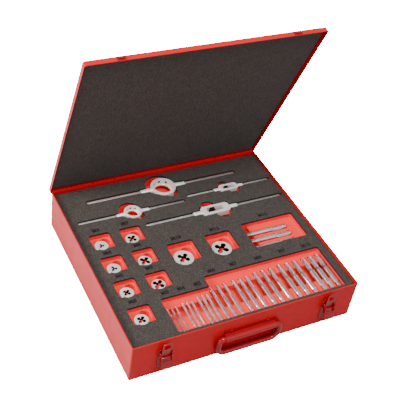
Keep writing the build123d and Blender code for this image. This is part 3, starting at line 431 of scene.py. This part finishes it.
def tap_surface(foot, along, size, kind):
    """Points and faces of one hand tap, closed at both ends.

    In polar form round the axis the radius is the least of the turned profile, the square's
    flat (half the square over the larger of |cos a|, |sin a|) and the near wall of each flute
    circle; over the thread the profile drops by a triangle wave of u / pitch - a / turn.
    """
    thread_d, pitch, length, shank_d, square, flutes = size
    tapered, rings = kind
    shank_r, thread_r = shank_d / 2, thread_d / 2
    neck_r = min(0.8 * thread_r, shank_r - RING_GROOVE_DEPTH)
    bevel = 0.12 * shank_d
    square_length = 1.1 * square + 2.2
    thread_length = THREAD_SHARE * length
    thread_start = length - thread_length
    shank_end = thread_start - NECK_SHARE * length
    knots = [(0.0, shank_r - bevel), (bevel, shank_r)]
    for i in range(rings):
        u = square_length + (2 * i + 2) * RING_GROOVE
        knots += [
            (u, shank_r), (u + 0.02, shank_r - RING_GROOVE_DEPTH),
            (u + RING_GROOVE - 0.02, shank_r - RING_GROOVE_DEPTH), (u + RING_GROOVE, shank_r),
        ]
    knots += [
        (shank_end, shank_r), (shank_end + shank_r - neck_r, neck_r),
        (thread_start - thread_r + neck_r, neck_r), (thread_start, thread_r),
        (length - tapered * thread_length, thread_r), (length, 0.7 * thread_r),
    ]
    knots = np.array(knots)
    square_u = [square_length / 2, square_length, square_length + 0.03]
    plain_u = np.concatenate([knots[:, 0], square_u])
    thread_u = np.arange(thread_start, length, pitch / ROWS_PER_TURN)
    u = np.unique(np.round(np.concatenate([plain_u, thread_u]), 4))
    a = np.arange(COLUMNS) * tau / COLUMNS
    turned = np.interp(u, knots[:, 0], knots[:, 1])[:, None] * np.ones(COLUMNS)
    in_thread = np.clip((u - thread_start) / pitch, 0, 1)[:, None]
    wave = np.abs(((u[:, None] / pitch - a / tau) % 1.0) * 2 - 1)
    turned = turned - in_thread * 0.5 * pitch * wave
    flat = square / 2 / np.maximum(np.abs(np.cos(a)), np.abs(np.sin(a)))
    radius = np.where(u[:, None] <= square_length, np.minimum(turned, flat), turned)
    reach, flute_r = FLUTE_REACH * thread_d, FLUTE_RADIUS * thread_d
    flute_start = thread_start - NECK_SHARE * length / 2
    for i in range(flutes):
        off = (a - radians(45) - i * tau / flutes + pi) % tau - pi
        near = flute_r ** 2 - (reach * np.sin(off)) ** 2
        cuts = (near > 0) & (np.abs(off) < pi / 2)
        wall = np.where(cuts, reach * np.cos(off) - np.sqrt(np.maximum(near, 0)), np.inf)
        radius = np.where(u[:, None] >= flute_start, np.minimum(radius, wall), radius)
    along = np.array(along, float)
    up = np.array((0.0, 0.0, 1.0))
    side = np.cross(along, up)
    points = (
        np.array(foot) + u[:, None, None] * along
        + (radius * np.cos(a))[..., None] * up + (radius * np.sin(a))[..., None] * -side
    )
    rows = len(u)
    grid = np.arange(rows * COLUMNS).reshape(rows, COLUMNS)
    turned_on = np.roll(grid, -1, axis=1)
    quads = np.stack([grid[:-1], grid[1:], turned_on[1:], turned_on[:-1]], axis=-1).reshape(-1, 4)
    faces = [tuple(quad) for quad in quads] + [tuple(grid[0]), tuple(grid[-1][::-1])]
    return points.reshape(-1, 3), faces


def tap_set(node, feet, along, size, material):
    """Three taps of one size as one piece that stands for their node."""
    points, faces, base = [], [], 0
    for foot, kind in zip(feet, TAP_KINDS):
        some, quads = tap_surface(foot, along, size, kind)
        points.append(some)
        faces += [tuple(base + i for i in face) for face in quads]
        base += len(some)
    made = put_mesh(f"{node}_cut", np.concatenate(points), faces, material, BODY_OF[node])
    work = bmesh.new()
    work.from_mesh(made.data)
    bmesh.ops.recalc_face_normals(work, faces=work.faces)
    for edge in work.edges:
        edge.smooth = edge.calc_face_angle(0.0) < radians(30)
    work.to_mesh(made.data)
    work.free()
    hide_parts(node)
    return made


# ---------------------------------------------------------------- operators
class TOOLCASE_OT_shells(bpy.types.Operator):
    """Paint the case and the lid"""

    bl_idname = "toolcase.shells"
    bl_label = "Case and lid"

    def execute(self, context):
        settings = context.scene.toolcase
        paint = powder_coat("Powder coat red", settings.paint, 0.36, 0.05)
        for node in ("base_shell", "lid_shell"):
            dress(node, paint, 0.0)
        return {"FINISHED"}


class TOOLCASE_OT_hardware(bpy.types.Operator):
    """Paint the latches, keepers, handle, hinge and rivets"""

    bl_idname = "toolcase.hardware"
    bl_label = "Latches, handle and hinge"

    def execute(self, context):
        settings = context.scene.toolcase
        paint = powder_coat("Powder coat deep red", settings.hardware, 0.16, 0.5)
        for node in NODES:
            if node.startswith(("latch_", "keeper", "handle_", "hinge_", "front_")):
                dress(node, paint, settings.edge if node.startswith(("latch_", "keeper")) else 0.0)
        return {"FINISHED"}


class TOOLCASE_OT_foam(bpy.types.Operator):
    """Make the foam inserts"""

    bl_idname = "toolcase.foam"
    bl_label = "Foam"

    def execute(self, context):
        settings = context.scene.toolcase
        grey = cell_foam("Polyethylene foam grey", settings.skin, 0.3, 1.5, 0.35)
        red = cell_foam("Polyethylene foam red", settings.insert, 0.06, 1.0, 0.2)
        # the cut materials are darker copies of the foams for the upright pocket walls: painted shade
        liner_grey, cut_grey_shade = shade(settings.skin, 1.2), shade(settings.skin, 0.45)
        liner = cell_foam("Polyethylene foam grey, lid liner", liner_grey, 0.26, 1.5, 0.35)
        grey_cut_shade = cell_foam("Polyethylene foam grey, cut", cut_grey_shade, 0.2, 1.5, 0.2)
        red_cut_shade = cell_foam("Polyethylene foam red, cut", settings.insert_cut_shade, 0.06, 1.0, 0.2)
        for name, node, material, cut, slot in (
            ("foam_skin", "foam_top", grey, grey_cut_shade, "foam_grey"),
            ("foam_insert", "foam_base", red, red_cut_shade, "foam_red"),
            ("foam_slab", "foam_filler", grey, grey_cut_shade, "foam_grey"),
            ("lid_liner", "lid_foam", liner, grey_cut_shade, "foam_grey"),
        ):
            foam_piece(name, node, material, cut)
        return {"FINISHED"}


class TOOLCASE_OT_marks(bpy.types.Operator):
    """Press the size marks into the foam skin"""

    bl_idname = "toolcase.marks"
    bl_label = "Size marks"

    def execute(self, context):
        settings = context.scene.toolcase
        work = bmesh.new()
        for text, x, y in SIZE_MARKS:
            curve = bpy.data.curves.new("mark", "FONT")
            curve.body = text
            curve.size = settings.mark_height
            curve.space_character = 1.08
            curve.align_x = "CENTER"
            curve.align_y = "CENTER"
            curve.extrude = 0.06 * MM
            curve.offset = 0.62 * MM
            curve.resolution_u = 3
            letters = bpy.data.objects.new("mark", curve)
            mesh = bpy.data.meshes.new_from_object(letters)
            mesh.transform(Matrix.Translation((x * MM, y * MM, (FOAM_Z + 0.03) * MM)))
            work.from_mesh(mesh)
            bpy.data.objects.remove(letters)
            bpy.data.curves.remove(curve)
            bpy.data.meshes.remove(mesh)
        marks = bpy.data.meshes.new("size_marks")
        work.to_mesh(marks)
        work.free()
        marks.materials.clear()
        marks.materials.append(mark_ink("Pressed black marks"))
        made = bpy.data.objects.new("size_marks", marks)
        context.scene.collection.objects.link(made)
        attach(made, "case")
        return {"FINISHED"}


class TOOLCASE_OT_taps(bpy.types.Operator):
    """Cut the taps' threads, flutes and squares"""

    bl_idname = "toolcase.taps"
    bl_label = "Taps"

    def execute(self, context):
        steel = ground_steel("Ground high-speed steel along y", "#EFEDEA", 0.26, (1.0, 0.05, 1.0))
        steel_x = ground_steel("Ground high-speed steel along x", "#EFEDEA", 0.26, (0.05, 1.0, 1.0))
        for name, (*size, x, spacing) in FRONT_TAPS.items():
            feet = [(x + i * spacing, TAP_FRONT, TAP_Z) for i in (-1, 0, 1)]
            tap_set(f"taps_{name}", feet, (0, 1, 0), size, steel)
        feet = [(M12_LEFT, M12_ROW + i * M12_SPACING, TAP_Z) for i in (1, 0, -1)]
        tap_set("taps_m12", feet, (1, 0, 0), M12_TAP, steel_x)
        return {"FINISHED"}


class TOOLCASE_OT_dies(bpy.types.Operator):
    """Finish the round dies: bright faces and rims, the thread and chip holes painted near-black as
    painted shade
    """

    bl_idname = "toolcase.dies"
    bl_label = "Dies"

    def execute(self, context):
        faces = satin_steel("Lapped die steel", "#E9E7E2", 0.42, 0.45)
        # near-black hole walls: painted shade where light does not reach into the thread bore and
        # chip holes
        holes = satin_steel("Hole steel, painted shade", "#15110F", 0.9, 0.5)
        for node in NODES:
            if not node.startswith("die_"):
                continue
            dress(node, faces, 0.0)
            mesh = NODES[node].data
            centres, points = np.empty(3 * len(mesh.polygons)), np.empty(3 * len(mesh.vertices))
            mesh.polygons.foreach_get("center", centres)
            mesh.vertices.foreach_get("co", points)
            points = points.reshape(-1, 3)
            low, high = points.min(0), points.max(0)
            out = np.hypot(*(centres.reshape(-1, 3) - (low + high) / 2)[:, :2].T)
            upright = np.abs(normals_of(mesh)[:, 2]) < UPRIGHT
            # upright faces inside the holes' circle take the painted shade
            second_material(mesh, holes, upright & (out < DIE_HOLES * (high - low)[0]))
        return {"FINISHED"}


class TOOLCASE_OT_holders(bpy.types.Operator):
    """Finish the die stocks and the tap wrenches"""

    bl_idname = "toolcase.holders"
    bl_label = "Die stocks and tap wrenches"

    def execute(self, context):
        settings = context.scene.toolcase
        cast = satin_steel("Satin-plated cast steel", "#EDEBE7", 0.35, 0.38)
        screw = ground_steel("Blackened screw steel", "#4A4846", 0.38, (1.0, 1.0, 1.0))
        for node in NODES:
            if not node.startswith(("stock_", "wrench_")):
                continue
            if node in ARMS:
                axis_y, axis_z = ARMS[node]
                knurled = knurled_steel(
                    f"Knurled steel {node}", "#E6E4E0", axis_y, axis_z, KNURL_STARTS, KNURL_PITCH
                )
                dress(node, knurled, 0.0)
            elif node.endswith(("_screws", "_jaw")):
                dress(node, screw, 0.0)
            else:
                dress(node, cast, settings.edge)
        return {"FINISHED"}


class TOOLCASE_OT_stage(bpy.types.Operator):
    """Set the floor, the lights, the background and the camera"""

    bl_idname = "toolcase.stage"
    bl_label = "Stage"

    def execute(self, context):
        settings = context.scene.toolcase_stage
        floor_half, steps = 6.0, 2
        line = np.linspace(-floor_half, floor_half, steps)
        xs, ys = np.meshgrid(line, line)
        points = np.stack([xs.ravel(), ys.ravel(), np.zeros(xs.size)], axis=1)
        mesh = bpy.data.meshes.new("floor")
        mesh.from_pydata(points, [], [(0, 1, 3, 2)])
        floor = bpy.data.objects.new("floor", mesh)
        context.scene.collection.objects.link(floor)
        material, tree, shader, place = new_material("Studio paper")
        stops = ((0.3, "#9C9C9C"), (0.7, "#A0A0A0"))
        tree.links.new(ramp(tree, noise(tree, place, 400.0), stops), shader.inputs["Base Color"])
        shader.inputs["Roughness"].default_value = 0.9
        shader.inputs["Specular IOR Level"].default_value = 0.1
        # overexposed paper: it glows for the camera, and by the left wall for reflections
        rays = add(tree, "ShaderNodeLightPath").outputs
        seen = maths(tree, "MULTIPLY", rays["Is Camera Ray"], settings.paper_glow)
        across = add(tree, "ShaderNodeSeparateXYZ", {"Vector": place}).outputs["X"]
        left = mapped(tree, across, *GLOW_EDGE, 0.0, settings.left_glow)
        mirrored = maths(tree, "MULTIPLY", rays["Is Glossy Ray"], left)
        glow = maths(tree, "ADD", seen, mirrored)
        shader.inputs["Emission Color"].default_value = linear("#FFFFFF")
        tree.links.new(glow, shader.inputs["Emission Strength"])
        mesh.materials.append(material)

        world = bpy.data.worlds.new("Studio")
        context.scene.world = world
        world.use_nodes = True
        # the camera sees the surroundings burnt out like the paper
        background = world.node_tree.nodes["Background"]
        background.inputs["Color"].default_value = linear("#FFFFFF")
        seen = add(world.node_tree, "ShaderNodeLightPath").outputs["Is Camera Ray"]
        strength = mapped(world.node_tree, seen, 0.0, 1.0, settings.sky, settings.paper_glow)
        world.node_tree.links.new(strength, background.inputs["Strength"])

        for name, place_m, size, power, colour in (
            ("Key", (-2.1, 0.2, 1.2), 0.9, settings.key_power, "#FFF8F0"),
            ("Top", (-0.25, -0.65, 2.1), 0.8, settings.top_power, "#FFFFFF"),
            ("Fill", (1.0, -2.0, 1.3), 1.6, settings.fill_power, "#F4F7FF"),
        ):
            light = bpy.data.lights.new(name, "AREA")
            light.shape = "DISK"
            light.size = size
            light.energy = power
            light.color = linear(colour)[:3]
            lamp = bpy.data.objects.new(name, light)
            lamp.location = place_m
            aim = Vector((0.0, 0.0, 0.1)) - Vector(place_m)
            lamp.rotation_euler = aim.to_track_quat("-Z", "Y").to_euler()
            context.scene.collection.objects.link(lamp)

        az, el = radians(settings.azimuth), radians(settings.elevation)
        roll = radians(settings.roll)
        back = Vector((sin(az) * cos(el), -cos(az) * cos(el), sin(el)))
        right = (-back).cross(Vector((0, 0, 1))).normalized()
        up = right.cross(-back)
        camera_x = right * cos(roll) + up * sin(roll)
        camera_y = -right * sin(roll) + up * cos(roll)
        camera = bpy.data.cameras.new("Camera")
        camera.lens = settings.lens
        camera.sensor_width = 36.0
        camera.clip_end = 50.0
        camera.dof.use_dof = False
        viewer = bpy.data.objects.new("Camera", camera)
        turn = Matrix((camera_x, camera_y, back)).transposed().to_4x4()
        stand = Vector(settings.target) + back * settings.distance
        viewer.matrix_world = Matrix.Translation(stand) @ turn
        context.scene.collection.objects.link(viewer)
        context.scene.camera = viewer
        return {"FINISHED"}


class TOOLCASE_PT_panel(bpy.types.Panel):
    """Lists the case's settings and its pieces"""

    bl_idname = "TOOLCASE_PT_panel"
    bl_label = "Tool case"
    bl_space_type = "VIEW_3D"
    bl_region_type = "UI"
    bl_category = "Tool case"

    def draw(self, context):
        for settings in (context.scene.toolcase, context.scene.toolcase_stage):
            for name in settings.__annotations__:
                self.layout.prop(settings, name)
        for operator in OPERATORS:
            self.layout.operator(operator.bl_idname)


OPERATORS = (
    TOOLCASE_OT_shells, TOOLCASE_OT_hardware, TOOLCASE_OT_foam, TOOLCASE_OT_marks, TOOLCASE_OT_taps,
    TOOLCASE_OT_dies, TOOLCASE_OT_holders, TOOLCASE_OT_stage,
)
CLASSES = (CaseSettings, StageSettings, *OPERATORS, TOOLCASE_PT_panel)


def register():
    """Register the classes and hang their settings on the scene."""
    for cls in CLASSES:
        bpy.utils.register_class(cls)
    bpy.types.Scene.toolcase = PointerProperty(type=CaseSettings)
    bpy.types.Scene.toolcase_stage = PointerProperty(type=StageSettings)


def unregister():
    """Take the settings and the classes away again."""
    del bpy.types.Scene.toolcase_stage
    del bpy.types.Scene.toolcase
    for cls in reversed(CLASSES):
        bpy.utils.unregister_class(cls)


def main():
    """Build every piece in order."""
    register()
    for operator in OPERATORS:
        group, name = operator.bl_idname.split(".")
        getattr(getattr(bpy.ops, group), name)()


if __name__ == "__main__":
    main()
